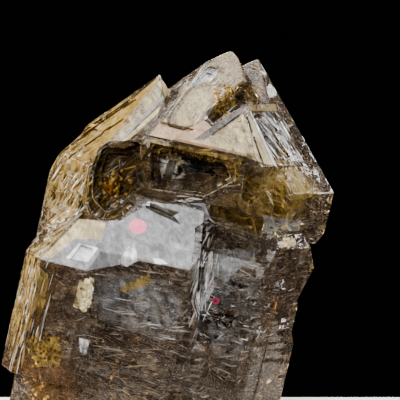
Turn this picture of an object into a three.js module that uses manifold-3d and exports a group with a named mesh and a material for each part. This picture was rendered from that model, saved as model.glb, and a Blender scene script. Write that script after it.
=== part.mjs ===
// A hopper quartz crystal: several individuals grown together in parallel, so that all of them
// share the same face directions. Millimetres, +Z up, origin at the middle of the broken base.
import * as THREE from "three";
import { mergeVertices } from "three/addons/utils/BufferGeometryUtils.js";
import Module from "manifold-3d";

const wasm = await Module();
wasm.setup();

// Driving dimensions.
const LEAN = 12.5; // degrees that the long axis leans towards +X
const TIP_SLOPE = 51.8; // degrees between the long axis and the normal of a tip face
const FACE_TURN = 60; // degrees from one face to the next around the long axis
const STOCK = 260; // edge of the block that each individual is trimmed from
const ROOT_LEVEL = -20; // long-axis level where the tall individuals end, below the base
const CUT_ABOVE = 14; // how far the cutter of a hollow stands out from the face
const SIDES = ["front", "frontRight", "backRight", "back", "backLeft", "frontLeft"];
const ALONG_AXIS = new THREE.Vector3(0, 0, 1);
const SHELL_DETAIL = 11; // how finely a shell-shaped break is faceted
const RAGGED = 0.09; // how unevenly the terraces of a hollow shrink
const MERGE_WITHIN = 1e-4; // corners closer than this become one
const SCATTER_SEED = 11;

// Scattered numbers that are the same on every run.
THREE.MathUtils.seededRandom(SCATTER_SEED);
function pick([low, high]) {
  return THREE.MathUtils.lerp(low, high, THREE.MathUtils.seededRandom());
}

// Outward direction of a prism face, square to the long axis.
function sideways(side) {
  const turn = THREE.MathUtils.degToRad(SIDES.indexOf(side) * FACE_TURN);
  return new THREE.Vector3(Math.sin(turn), -Math.cos(turn), 0);
}

// Direction across a face, seen from outside.
function across(side) {
  const turn = THREE.MathUtils.degToRad(SIDES.indexOf(side) * FACE_TURN);
  return new THREE.Vector3(Math.cos(turn), Math.sin(turn), 0);
}

// Outward direction of the tip face above a prism face, or of the one below it (up = -1).
function slanted(side, up = 1) {
  const slope = THREE.MathUtils.degToRad(TIP_SLOPE);
  const outward = sideways(side).multiplyScalar(Math.sin(slope));
  return outward.addScaledVector(ALONG_AXIS, up * Math.cos(slope));
}

// A solid from a geometry, with the corners that its faces share joined.
function solidFrom(geometry) {
  const bare = geometry.clone();
  bare.deleteAttribute("normal");
  bare.deleteAttribute("uv");
  const merged = mergeVertices(bare, MERGE_WITHIN);
  return new wasm.Manifold(new wasm.Mesh({
    numProp: 3,
    vertProperties: new Float32Array(merged.attributes.position.array),
    triVerts: new Uint32Array(merged.index.array),
  }));
}

// Keeps the part of a solid behind the plane through a point, seen along its outward direction.
function keepBehind(solid, outward, point) {
  return solid.trimByPlane([-outward.x, -outward.y, -outward.z], -outward.dot(point));
}

// A hopper hollow sunk into one face. The outline is given across and up the face from a point
// on it; the terraces, each as a scale and a depth, shrink unevenly towards the outline's middle.
function hollow({ side, tilted = false, at, outline, terraces }) {
  const out = tilted ? slanted(side) : sideways(side);
  const up = out.clone().cross(across(side));
  const onFace = new THREE.Matrix4().makeBasis(across(side), up, out).setPosition(...at);
  const corners = outline.map(([x, y]) => new THREE.Vector2(x, y));
  const middle = corners.reduce((sum, corner) => sum.add(corner), new THREE.Vector2());
  middle.divideScalar(corners.length);
  const steps = terraces.map(([scale, depth]) => {
    const ring = corners.map((corner) => {
      const shrink = scale === 1 ? 1 : scale * pick([1 - RAGGED, 1 + RAGGED]);
      return corner.clone().sub(middle).multiplyScalar(shrink).add(middle);
    });
    const settings = { depth: depth + CUT_ABOVE, bevelEnabled: false };
    const prism = new THREE.ExtrudeGeometry(new THREE.Shape(ring), settings);
    return solidFrom(prism.translate(0, 0, -depth).applyMatrix4(onFace));
  });
  return steps.reduce((whole, step) => whole.add(step));
}

// A shell-shaped break: a large ball that bites shallowly into a face around a point.
function shellBreak({ at, out, radius, bite }) {
  const centre = new THREE.Vector3(...out).setLength(radius - bite).add(new THREE.Vector3(...at));
  const ball = new THREE.IcosahedronGeometry(radius, SHELL_DETAIL);
  return solidFrom(ball.translate(...centre.toArray()));
}

const stock = solidFrom(new THREE.BoxGeometry(STOCK, STOCK, STOCK));

// One individual. tip is where its tip faces meet; reach gives the distance from the axis to
// each prism face; ease moves a tip face outwards; root is the level where it ends, cut square
// or, for a small one, closed by downward tip faces. broken lists planes that it is broken off
// along, each as an outward direction and a point; hollows and shells list its own hollows and
// shell-shaped breaks.
function individual(shape) {
  const { tip, reach, ease = {}, root = ROOT_LEVEL, closed = false } = shape;
  const { broken = [], hollows = [], shells = [] } = shape;
  const peak = new THREE.Vector3(...tip);
  let solid = stock;
  for (const side of SIDES) {
    const onWall = peak.clone().addScaledVector(sideways(side), reach[side]);
    const onTip = peak.clone().addScaledVector(slanted(side), ease[side] ?? 0);
    solid = keepBehind(solid, sideways(side), onWall);
    solid = keepBehind(solid, slanted(side), onTip);
    if (closed) {
      solid = keepBehind(solid, slanted(side, -1), new THREE.Vector3(peak.x, peak.y, root));
    }
  }
  for (const [x, y, z, ...point] of broken) {
    solid = keepBehind(solid, new THREE.Vector3(x, y, z).normalize(), new THREE.Vector3(...point));
  }
  for (const one of hollows) {
    solid = solid.subtract(hollow(one));
  }
  for (const one of shells) {
    solid = solid.subtract(shellBreak(one));
  }
  return closed ? solid : keepBehind(solid, new THREE.Vector3(0, 0, -1), new THREE.Vector3(0, 0, root));
}

function reaches(front, frontRight, backRight, back, backLeft, frontLeft) {
  return { front, frontRight, backRight, back, backLeft, frontLeft };
}

// The main individuals, placed in the upright frame of the long axis.
const mains = [
  // Right peak, with a small broken flat on top and its lower right edge broken under.
  {
    tip: [5.3, 9, 76.8], reach: reaches(17, 18.5, 18.5, 12, 12, 14), ease: { frontLeft: 2 }, root: 42.5,
    broken: [[-0.2, 0, 1, 3, 9, 76.1], [0.826, 0, -0.563, 26.6, 9, 44.6]],
  },
  // Plate in front of the right peak, its top broken off level.
  {
    tip: [-2.7, 7.8, 85.2], reach: reaches(22.3, 21.4, 21.4, 6, -4, 4.8), root: 47,
    broken: [[0, 0, 1, 7, -6, 68]],
  },
  // Small proud triangle on the right of the shelf.
  { tip: [3.8, -8.6, 68.2], reach: reaches(6.7, 8, 8, 3, 14, 16), ease: { frontLeft: 9 }, root: 48 },
  // Front shelf.
  { tip: [-8, -6, 70.6], reach: reaches(9, 24, 14, 6, 8, 9), ease: { frontRight: 6 }, root: 40 },
  // Middle blade, proud of the shelf and broken off along its lower edge.
  {
    tip: [-0.7, -1.2, 77.65], reach: reaches(16, 9, 6, 8, 12, 18), root: 30,
    ease: { frontLeft: 2, frontRight: 0.8 },
    broken: [[-0.2, 0, 1, -0.9, 0, 77.3], [0, -0.618, -0.786, -7, -12.9, 61.7]],
  },
  // Left wing, its outer edge stepping down and its right side open below.
  {
    tip: [-13.3, -6, 70.3], reach: reaches(13.5, 9, 9, 12, 14.8, 14.8), root: 12,
    broken: [[-0.807, 0, 0.59, -21.3, -6, 61.6], [-0.945, 0, 0.329, -29.1, -6, 51]],
    hollows: [{
      side: "front", at: [0, -19.5, 0], terraces: [[1, 8]],
      outline: [[-12.4, 57], [-3, 57], [-3, 30], [-17, 30], [-17, 41.5]],
    }],
  },
  // Front tower: a left half and a right half that stands further back, stepping right below.
  {
    tip: [-15.5, -6, 58.8], reach: reaches(20, 7.5, 10, 16, 6.5, 20), root: 11,
    broken: [[-0.898, 0, -0.441, -31.2, -19.5, 18.5]],
    shells: [{ at: [-27.5, -23, 13], out: [-0.6, -0.6, -0.5], radius: 15, bite: 1.6 }],
  },
  {
    tip: [-15.5, -6, 58.8], reach: reaches(17.2, 22.1, 12, 16, 8, 14), ease: { frontRight: 8.2 },
    hollows: [{
      side: "front", at: [0, -26, 0], terraces: [[1, 16]],
      outline: [[0.6, 47], [16, 50], [16, 20], [2.8, 30]],
    }],
  },
  {
    tip: [-6, -8, 47], reach: reaches(13.4, 14.6, 8, 6, 6, 6),
    hollows: [{
      side: "front", at: [0, -26, 0], terraces: [[1, 16]],
      outline: [[2.4, 47], [16, 50], [16, 12], [4.4, 22]],
    }],
  },
  { tip: [0, -9, 35], reach: reaches(11, 11, 8, 6, 6, 6) },
  // Right body below the right peak, undercut on its right, and a ledge on its flank.
  {
    tip: [9, 0, 58.6], reach: reaches(17, 12.6, 16.1, 15, 12, 22), ease: { frontLeft: 9 },
    broken: [[0.944, 0, -0.333, 24.6, 3, 35.3]],
    shells: [{ at: [9.5, -17, 34.5], out: [0.1, -1, -0.2], radius: 24, bite: 0.9 }],
  },
  { tip: [14, -2, 54], reach: reaches(6.5, 6.5, 8, 6, 6, 6), root: 38, closed: true },
  {
    tip: [8, 0, 44.5], reach: reaches(15.5, 14.4, 14.6, 14, 8, 8),
    broken: [[0.926, 0, 0.378, 24.2, 3, 23.6]],
  },
  // Stem at the broken base.
  { tip: [-6, -3, 38], reach: reaches(15, 20, 20, 16, 14.2, 21.2) },
  // Heart, which the others grew around.
  { tip: [-4, 2, 64], reach: reaches(10, 14, 14, 12, 12, 12) },
  // Back towers.
  { tip: [2, 10, 70], reach: reaches(8, 12, 13, 11, 12, 10) },
  { tip: [-13, 6, 63], reach: reaches(8, 8, 10, 13, 13, 15) },
  { tip: [12, 12, 60], reach: reaches(8, 10, 12, 11, 14, 8) },
  { tip: [-4, 4, 52], reach: reaches(10, 20, 22, 13, 19, 19) },
];

// Hopper hollows through the joined individuals.
const hollows = [
  // Deep window under the front shelf.
  {
    side: "front", at: [0, -15, 0], terraces: [[1, 3], [0.86, 6], [0.6, 8.5]],
    outline: [[-12.3, 57.9], [4.3, 57.7], [5.0, 54.4], [0.1, 50.1], [-5.6, 49.6], [-10.4, 49.3]],
  },
  // Deep hollow in the left wing.
  {
    side: "front", at: [0, -19.5, 0], terraces: [[1, 3.5], [0.82, 7], [0.6, 10]],
    outline: [
      [-21.4, 56.2], [-16.9, 57.2], [-13.6, 58.6], [-12.6, 56.8], [-10.2, 49.4], [-13.9, 43.7],
      [-17.4, 41.6], [-20.4, 42.4], [-21.6, 44.6], [-22.1, 50.3],
    ],
  },
  // Cleft between the blade, the small triangle and the right peak.
  {
    side: "front", tilted: true, at: [0, -15, 59.2], terraces: [[1, 4.2]],
    outline: [[4.2, 17.2], [2.4, 16.2], [-3.4, 7], [-1.5, 5.5], [3.6, 10.6], [6.5, 11.5], [6.5, 15.5]],
  },
  // Framed hollows right of the window, below the small triangle.
  {
    side: "front", at: [0, -15, 0], terraces: [[1, 1.8], [0.75, 3.4]],
    outline: [[6.4, 57], [10.4, 56.6], [10.9, 53], [9.3, 50.4], [6.9, 50.9]],
  },
  {
    side: "front", at: [0, -15, 0], terraces: [[1, 1.6], [0.7, 2.8]],
    outline: [[1.2, 48.8], [5.6, 49.2], [12.5, 47.6], [12.2, 44.6], [2, 45.6]],
  },
  // Shallow sunk centres of the blade and the small triangle.
  {
    side: "front", tilted: true, at: [0, -15.7, 59.2], terraces: [[1, 0.3], [0.8, 0.6]],
    outline: [
      [-8.1, 10.5], [-4.3, 18.6], [-2.5, 18.5], [-2.4, 14.2],
      [-3.9, 9.4], [-5.9, 5.9], [-8.4, 5.2], [-9.4, 6.6],
    ],
  },
  {
    side: "front", tilted: true, at: [0, -15.7, 59.2], terraces: [[1, 0.35]],
    outline: [[3.3, 9.2], [-1.2, 3.1], [6.4, 0.5], [6.4, 2.4]],
  },
  // Square etched patch and a crack on the front tower's tip face.
  {
    side: "front", tilted: true, at: [0, -26, 33.4], terraces: [[1, 0.4]],
    outline: [[-22, 1.3], [-20.7, 5], [-18.2, 4.6], [-18.3, 1.7]],
  },
  {
    side: "front", tilted: true, at: [0, -26, 33.4], terraces: [[1, 1.8]],
    outline: [[-9.8, 16.9], [-7.4, 16.5], [-4.2, 16.1], [-5.2, 14.9], [-7.6, 15.4], [-9.6, 15.8]],
  },
  // Sunk middle of the right flank's prism face, below the plate.
  {
    side: "frontRight", at: [26.6, 9, 50], terraces: [[1, 1.1], [0.8, 2.2]],
    outline: [[-21, 1.8], [-6.5, 2.6], [-4.6, -3], [-17.5, -4.2]],
  },
];

// Small crystals that stand against the inner walls of the hollows.
const lodged = [
  { tip: [-18.2, -9, 54], reach: reaches(3.2, 2.2, 3, 4, 3, 2.6), root: 41 },
  { tip: [-14.4, -8, 51.5], reach: reaches(3.4, 1.6, 2, 4, 2, 1.8), root: 42 },
  { tip: [-20.6, -11, 48.5], reach: reaches(3, 2, 2, 4, 2, 2), root: 40 },
  { tip: [-16.4, -12, 46], reach: reaches(3.6, 2.4, 2, 3, 2, 1.4), root: 40 },
  { tip: [-9.3, -7, 57.5], reach: reaches(2.8, 2.4, 2, 4, 2, 1.8), root: 48 },
  { tip: [-4.2, -6, 54], reach: reaches(3, 1.7, 2, 4, 2, 2.3), root: 48 },
  { tip: [2.6, -8, 56.5], reach: reaches(2.9, 2, 2, 4, 2, 1.6), root: 48 },
  { tip: [8.4, -10.5, 55.5], reach: reaches(1.6, 1.2, 2, 4, 2, 1.4), root: 49 },
];

// Ribs: long shallow grooves across a tip face, parallel to one of its edges.
const RIB_EDGE = [0.357, -1]; // across and up the face, for each millimetre down it
function ribs({ side, at, starts, lengths, width, depth, lean }) {
  return starts.map(([x, y], index) => {
    const dx = lean * RIB_EDGE[0] * lengths[index];
    const dy = RIB_EDGE[1] * lengths[index];
    const outline = [[x, y], [x + width, y], [x + width + dx, y + dy], [x + dx, y + dy]];
    return hollow({ side, tilted: true, at, outline, terraces: [[1, depth]] });
  });
}

const ribbed = [
  {
    side: "frontLeft", at: [-13.3, -6, 70.3], width: 0.8, depth: 0.7, lean: -1,
    starts: [[-1.4, -8], [0.3, -7], [2.6, -12]], lengths: [16, 18, 14],
  },
  {
    side: "frontRight", at: [22.4, 8, 57.6], width: 1.1, depth: 0.45, lean: 1,
    starts: [[-16.4, 10.2], [-11.5, 12], [-8.2, 11]], lengths: [8.4, 9.6, 9],
  },
  {
    side: "back", at: [2, 10, 70], width: 1, depth: 0.6, lean: -1,
    starts: [[-2, -5], [1.5, -4]], lengths: [9, 10],
  },
  {
    side: "backLeft", at: [-13, 6, 63], width: 0.9, depth: 0.6, lean: 1,
    starts: [[-2.5, -6], [0.5, -5], [3.4, -7]], lengths: [12, 13, 10],
  },
];

// Half of a prism face's width, towards the neighbour on one hand (step -1 or 1).
function halfWidth(host, side, step) {
  const neighbour = SIDES[(SIDES.indexOf(side) + step + SIDES.length) % SIDES.length];
  const turn = THREE.MathUtils.degToRad(FACE_TURN);
  return (host.reach[neighbour] - host.reach[side] * Math.cos(turn)) / Math.sin(turn);
}

// Columns: narrow parallel individuals that stand a little proud of a host's prism face.
const COLUMN_SIZE = [2.2, 4.8]; // from a column's axis to its faces
const COLUMN_PROUD = [0.4, 1.3];
const COLUMN_TIP = 14; // lowest level of a column's tip
const COLUMN_BELOW = 2; // how far the highest one ends below the host's tip face
const EDGE_SHARE = 0.6; // share of a column's size that it keeps clear of the face's edge
function columns(host, side, count) {
  const wall = host.reach[side];
  const highest = host.tip[2] - wall * Math.tan(THREE.MathUtils.degToRad(TIP_SLOPE)) - COLUMN_BELOW;
  return Array.from({ length: count }, () => {
    const size = pick(COLUMN_SIZE);
    const edge = size * EDGE_SHARE;
    const along = pick([edge - halfWidth(host, side, -1), halfWidth(host, side, 1) - edge]);
    const tip = new THREE.Vector3(host.tip[0], host.tip[1], pick([COLUMN_TIP, highest]));
    tip.addScaledVector(sideways(side), wall - size + pick(COLUMN_PROUD));
    tip.addScaledVector(across(side), along);
    return individual({
      tip: tip.toArray(), reach: reaches(size, size, size, size, size, size), root: host.root,
    });
  });
}

// Steps: narrow parallel individuals whose tip faces stand a little proud of a host's tip face.
const STEP_SIZE = [2.4, 5];
const STEP_PROUD = [0.25, 0.6];
const STEP_PLACE = [0.1, 0.75]; // where on the tip face, as a share of the way out from the axis
const STEP_LENGTH = [0.9, 1.8]; // how far the step runs down the tip face, as a share of its size
const STEP_DEEP = 16; // from a step's tip to its root
function steps(host, side, count) {
  const slope = Math.tan(THREE.MathUtils.degToRad(TIP_SLOPE));
  return Array.from({ length: count }, () => {
    const size = pick(STEP_SIZE);
    const share = pick(STEP_PLACE);
    const out = share * host.reach[side];
    const along = share * pick([-halfWidth(host, side, -1), halfWidth(host, side, 1)]);
    const level = host.tip[2] - out * slope + pick(STEP_PROUD);
    const tip = new THREE.Vector3(host.tip[0], host.tip[1], level);
    tip.addScaledVector(sideways(side), out);
    tip.addScaledVector(across(side), along);
    const reach = reaches(size, size, size, size, size, size);
    reach[side] = size * pick(STEP_LENGTH);
    return individual({ tip: tip.toArray(), reach, root: tip.z - STEP_DEEP });
  });
}

const [rightPeak, , , , , leftWing, towerLeft, , , , rightBody] = mains;
const [highTower, leftTower, rightTower, lowTower] = mains.slice(-4);
const grownOn = [
  ...columns(rightPeak, "backRight", 3), ...steps(rightPeak, "backRight", 2),
  ...columns(rightPeak, "frontRight", 2),
  ...columns(leftWing, "backLeft", 3), ...steps(leftWing, "backLeft", 2),
  ...steps(leftWing, "frontLeft", 2),
  ...columns(towerLeft, "frontLeft", 2),
  ...columns(rightBody, "frontRight", 2), ...columns(rightBody, "backRight", 2),
  ...columns(highTower, "back", 3), ...steps(highTower, "back", 2),
  ...columns(leftTower, "backLeft", 3), ...columns(leftTower, "back", 3),
  ...steps(leftTower, "backLeft", 2),
  ...columns(rightTower, "back", 3), ...columns(rightTower, "backRight", 3),
  ...columns(lowTower, "back", 2), ...columns(lowTower, "backLeft", 3),
];

// Everything grown together as one piece.
let body = mains.map(individual).concat(grownOn).reduce((whole, one) => whole.add(one));
for (const cutter of hollows.map(hollow).concat(ribbed.flatMap(ribs))) {
  body = body.subtract(cutter);
}
for (const one of lodged) {
  body = body.add(individual(one));
}

// Stand the group on its broken base, leaning as it was photographed, over the origin. The base
// is chipped along its lower edges, each chip given as an outward direction and a point.
const baseChips = [
  [-0.7, -0.3, -0.65, -26.2, -10, 2.6],
  [-0.35, -0.7, -0.62, -19, -20.5, 2],
  [0.25, -0.8, -0.55, 3, -20.5, 3],
  [0.75, -0.45, -0.5, 23, -8, 2.4],
  [0.7, 0.5, -0.5, 24, 9, 3.4],
  [0.15, 0.8, -0.58, 8, 20.5, 3.6],
  [-0.5, 0.7, -0.52, -18, 15.5, 3.2],
];
body = body.rotate([0, LEAN, 0]);
body = keepBehind(body, new THREE.Vector3(0, 0, -1), new THREE.Vector3(0, 0, 0));
for (const [x, y, z, ...point] of baseChips) {
  body = keepBehind(body, new THREE.Vector3(x, y, z).normalize(), new THREE.Vector3(...point));
}
const extent = body.boundingBox();
body = body.translate([-(extent.min[0] + extent.max[0]) / 2, -(extent.min[1] + extent.max[1]) / 2, 0]);

const mesh = body.getMesh();
const geometry = new THREE.BufferGeometry();
geometry.setAttribute("position", new THREE.BufferAttribute(new Float32Array(mesh.vertProperties), 3));
geometry.setIndex(new THREE.BufferAttribute(new Uint32Array(mesh.triVerts), 1));
geometry.computeVertexNormals();

const crystal = new THREE.Mesh(geometry, new THREE.MeshStandardMaterial({
  color: new THREE.Color(0.5, 0.38, 0.24),
  roughness: 0.12,
  metalness: 0,
}));
crystal.name = "quartz_crystal";

const group = new THREE.Group();
group.add(crystal);

export default group;
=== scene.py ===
import math

import bmesh
import bpy
import numpy as np
from mathutils import Matrix, Vector, noise
from mathutils.bvhtree import BVHTree


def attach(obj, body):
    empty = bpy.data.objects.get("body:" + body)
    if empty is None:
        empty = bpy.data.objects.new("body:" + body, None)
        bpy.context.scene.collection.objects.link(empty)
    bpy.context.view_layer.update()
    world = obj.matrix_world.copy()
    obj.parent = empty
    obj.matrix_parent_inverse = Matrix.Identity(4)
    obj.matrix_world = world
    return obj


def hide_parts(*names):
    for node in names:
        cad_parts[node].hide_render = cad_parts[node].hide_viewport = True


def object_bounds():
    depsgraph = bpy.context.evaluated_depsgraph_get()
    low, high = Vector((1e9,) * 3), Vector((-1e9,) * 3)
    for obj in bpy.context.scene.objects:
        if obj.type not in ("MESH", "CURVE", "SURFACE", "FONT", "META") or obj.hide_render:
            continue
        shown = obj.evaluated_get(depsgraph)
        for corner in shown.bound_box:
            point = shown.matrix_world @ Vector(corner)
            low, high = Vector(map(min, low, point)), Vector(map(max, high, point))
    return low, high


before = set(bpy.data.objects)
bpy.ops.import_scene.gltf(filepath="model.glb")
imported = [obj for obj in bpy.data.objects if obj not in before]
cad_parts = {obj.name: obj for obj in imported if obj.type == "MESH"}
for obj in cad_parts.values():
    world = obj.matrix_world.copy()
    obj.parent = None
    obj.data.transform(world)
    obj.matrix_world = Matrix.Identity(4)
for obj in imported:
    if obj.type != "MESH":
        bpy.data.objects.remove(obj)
cad_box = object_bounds()

# The crystal.
MM = 0.001
LEAN = math.radians(12.5)  # the long axis leans towards +X
CENTRING = Vector((-3.7806, 0.8866, 0.0))  # mm, the upright frame's origin in the object's frame
TIP_SLOPE = math.radians(51.8)  # between the long axis and the normal of a tip face
FACE_TURN = math.radians(60)
SIDES = ["front", "frontRight", "backRight", "back", "backLeft", "frontLeft"]
QUARTZ_IOR = 1.544

# Its meshes, in millimetres where no angle is meant.
JOIN_WITHIN = 0.001  # corners closer than this are one
FLAT_WITHIN = math.radians(0.5)  # faces that meet more flatly than this are joined
SHARP = math.radians(20)  # edges sharper than this are worn
SMOOTH_BELOW = math.radians(12)  # faces that meet more flatly than this are shaded as one
EDGE_WEAR = 0.13  # how wide the worn edges are
TIGHT = 0.5  # corners with a shorter edge than this stay sharp
STRAY_WEAR = 1.5 * EDGE_WEAR  # a worn corner further from the solid than this goes back to it
STANDS_OUT = 1.2 * EDGE_WEAR  # nothing inside may be further out of the solid than this
# The skin over the glass carries its stains and crusts, and also painted shade and glints.
SKIN_DEPTH = 0.05  # how deep the glass lies under its stains and crusts
SKIN_CELL = 1.6  # longest edge of the glass and its skin
SHEET_CELL = 2.2  # longest edge of the sheets inside
SHEET_WAVE = 0.45  # how far the sheets swing
SHEET_ROOM = 0.8  # share of the way to the surface that they keep to
WAVE_LENGTH = 5.0
REFINE_ROUNDS = 8
ORDER_DIGITS = 3  # corners are sorted by their places to this many digits

# The photograph's view of the object, in millimetres.
PHOTO_PIXELS = 400
CAMERA_TILT = math.radians(8)  # downwards
CAMERA_AWAY = 322
LENS = 145
SENSOR = 36
LOOKED_AT = CENTRING + Vector((10, 0, 46))
SIGHT = Vector((0, math.cos(CAMERA_TILT), -math.sin(CAMERA_TILT)))
CAMERA_UP = Vector((0, math.sin(CAMERA_TILT), math.cos(CAMERA_TILT)))
CAMERA_AT = LOOKED_AT - CAMERA_AWAY * SIGHT
PIXELS_WIDE = PHOTO_PIXELS * LENS / SENSOR  # of something as wide as it is far away
CUT_FACING = 0.05  # how much a face has to look at the camera to be cut along an outline
PAINT_FACING = 0.1  # and to be painted


# Outward direction of a prism face in the upright frame, and of the tip face above it.
def wall(side):
    turn = SIDES.index(side) * FACE_TURN
    return Vector((math.sin(turn), -math.cos(turn), 0))


def tip(side):
    return wall(side) * math.sin(TIP_SLOPE) + Vector((0, 0, math.cos(TIP_SLOPE)))


# From the upright frame of the long axis, in millimetres, to the object's frame in metres; and
# rows of points back again.
UPRIGHT = Matrix.Rotation(LEAN, 3, "Y")
BACK = np.array(UPRIGHT.inverted()).T


def place(point):
    return (UPRIGHT @ Vector(point) + CENTRING) * MM


def in_upright(points):
    return (points / MM - np.array(CENTRING)) @ BACK


# Where points in metres are seen in the photograph, in its pixels across and down.
def seen_at(points):
    off = np.asarray(points) / MM - np.array(CAMERA_AT)
    far = off @ np.array(SIGHT)
    across = PHOTO_PIXELS / 2 + off[:, 0] / far * PIXELS_WIDE
    down = PHOTO_PIXELS / 2 - off @ np.array(CAMERA_UP) / far * PIXELS_WIDE
    return np.stack([across, down], axis=1)


# The line of sight through a pixel.
def sight_through(across, down):
    right = Vector((across - PHOTO_PIXELS / 2, 0, 0))
    return SIGHT * PIXELS_WIDE + right - CAMERA_UP * (down - PHOTO_PIXELS / 2)


# Node trees.
def feed(tree, into, value):
    if isinstance(value, bpy.types.NodeSocket):
        tree.links.new(value, into)
    else:
        into.default_value = value


# Adds a node with its inputs set or linked, and its own properties as settings.
def add(tree, kind, inputs=None, **settings):
    node = tree.nodes.new(kind)
    for name, value in settings.items():
        setattr(node, name, value)
    for name, value in (inputs or {}).items():
        feed(tree, node.inputs[name], value)
    return node


def maths(tree, operation, *values):
    return add(tree, "ShaderNodeMath", dict(enumerate(values)), operation=operation).outputs[0]


def vector(tree, operation, *values, result=0):
    node = add(tree, "ShaderNodeVectorMath", dict(enumerate(values)), operation=operation)
    return node.outputs[result]


def scaled(tree, value, scale):
    values = {0: value, "Scale": scale}
    return add(tree, "ShaderNodeVectorMath", values, operation="SCALE").outputs[0]


def mix(tree, kind, factor, first, second):
    node = add(tree, "ShaderNodeMix", data_type="RGBA" if kind == "Color" else "FLOAT")
    into = {made.identifier: made for made in node.inputs}
    for name, value in (("Factor_Float", factor), ("A_" + kind, first), ("B_" + kind, second)):
        feed(tree, into[name], value)
    return next(made for made in node.outputs if made.identifier == "Result_" + kind)


def mix_colour(tree, factor, first, second):
    return mix(tree, "Color", factor, first, second)


def blend(tree, factor, first, second):
    return mix(tree, "Float", factor, first, second)


def socket(tree, name, kind, default=None, out=False):
    in_out = "OUTPUT" if out else "INPUT"
    made = tree.interface.new_socket(name=name, in_out=in_out, socket_type=kind)
    if default is not None:
        made.default_value = default


# A group whose patterns follow the crystal's growth. Cell is their size in millimetres across,
# deep and along the axis, Turn leans them in the front plane and Shift moves them on. It also
# gives the place to look each pattern up at.
def growth_group(name, inputs, outputs):
    tree = bpy.data.node_groups.new(name, "ShaderNodeTree")
    socket(tree, "Cell", "NodeSocketVector", (2, 2, 2))
    for label, value in {"Turn": 0.0, "Shift": 0.0, **inputs}.items():
        socket(tree, label, "NodeSocketFloat", value)
    for label in outputs:
        socket(tree, label, "NodeSocketFloat", out=True)
    given = add(tree, "NodeGroupInput").outputs
    coords = add(tree, "ShaderNodeTexCoord").outputs["Object"]
    lean = maths(tree, "SUBTRACT", given["Turn"], LEAN)
    turned = add(
        tree, "ShaderNodeVectorRotate",
        {"Vector": coords, "Axis": (0, 1, 0), "Angle": lean}, rotation_type="AXIS_ANGLE",
    ).outputs[0]
    return tree, given, vector(tree, "DIVIDE", scaled(tree, turned, 1 / MM), given["Cell"])


def between(tree, value, start, end):
    return add(
        tree, "ShaderNodeMapRange", {"Value": value, "From Min": start, "From Max": end},
        interpolation_type="SMOOTHSTEP",
    ).outputs[0]


# Soft streaks and patches. Low and High set how much of the surface the Mask covers, and Width
# how wide the thin winding Lines are.
def growth_streaks():
    tree, given, cells = growth_group(
        "growth_streaks", {"Low": 0.45, "High": 0.6, "Warp": 0.6, "Width": 0.02},
        ["Mask", "Lines"],
    )
    pattern = add(
        tree, "ShaderNodeTexNoise",
        {"Vector": cells, "W": given["Shift"], "Scale": 1.0, "Detail": 4.0, "Roughness": 0.62,
         "Distortion": given["Warp"]},
        noise_dimensions="4D",
    ).outputs[0]
    off_middle = maths(tree, "ABSOLUTE", maths(tree, "SUBTRACT", pattern, 0.5))
    add(tree, "NodeGroupOutput", {
        "Mask": between(tree, pattern, given["Low"], given["High"]),
        "Lines": between(tree, off_middle, given["Width"], 0.0),
    })
    return tree


# Flat plates side by side, each tilted its own way. Height is for a bump, and Shade is one value
# from 0 to 1 for each plate.
def growth_plates():
    tree, given, cells = growth_group("growth_plates", {}, ["Height", "Shade"])
    at = vector(tree, "ADD", cells, given["Shift"])
    found = add(tree, "ShaderNodeTexVoronoi", {"Vector": at, "Scale": 1.0}).outputs
    off_middle = vector(tree, "SUBTRACT", at, found["Position"])
    tilt = vector(tree, "SUBTRACT", found["Color"], (0.5, 0.5, 0.5))
    height = vector(tree, "DOT_PRODUCT", off_middle, tilt, result="Value")
    shade = add(tree, "ShaderNodeSeparateXYZ", {"Vector": found["Color"]}).outputs["X"]
    add(tree, "NodeGroupOutput", {"Height": height, "Shade": shade})
    return tree


STREAKS = growth_streaks()
PLATES = growth_plates()


# The groups in use, with turns in degrees.
def use_group(tree, group, cell, turn, shift, **values):
    node = tree.nodes.new("ShaderNodeGroup")
    node.node_tree = group
    node.inputs["Cell"].default_value = cell
    node.inputs["Turn"].default_value = math.radians(turn)
    node.inputs["Shift"].default_value = shift
    for name, value in values.items():
        node.inputs[name].default_value = value
    return node.outputs


def streaks(tree, cell, low=0.3, high=0.7, turn=0.0, shift=0.0, warp=0.6):
    return use_group(tree, STREAKS, cell, turn, shift, Low=low, High=high, Warp=warp)["Mask"]


def wisps(tree, cell, turn, shift, warp, width):
    return use_group(tree, STREAKS, cell, turn, shift, Warp=warp, Width=width)["Lines"]


def plates(tree, cell, turn=0.0, shift=0.0):
    return use_group(tree, PLATES, cell, turn, shift)


# Materials.
def new_material(name):
    material = bpy.data.materials.new(name)
    material.use_nodes = True
    material.node_tree.nodes.clear()
    return material, material.node_tree


# Ends a material's tree with one surface, and with what fills the body.
def end_material(tree, surface_inputs, **body):
    shader = add(tree, "ShaderNodeBsdfPrincipled", surface_inputs)
    add(tree, "ShaderNodeOutputMaterial", {"Surface": shader.outputs[0], **body})


# A bump, its depth in millimetres.
def bumped(tree, height, deep, strength=1.0):
    values = {"Height": height, "Strength": strength, "Distance": deep * MM}
    return add(tree, "ShaderNodeBump", values).outputs[0]


def painted(tree, name):
    return add(tree, "ShaderNodeAttribute", attribute_name=name).outputs["Fac"]


def colour(red, green, blue):
    return (red, green, blue, 1)


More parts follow.
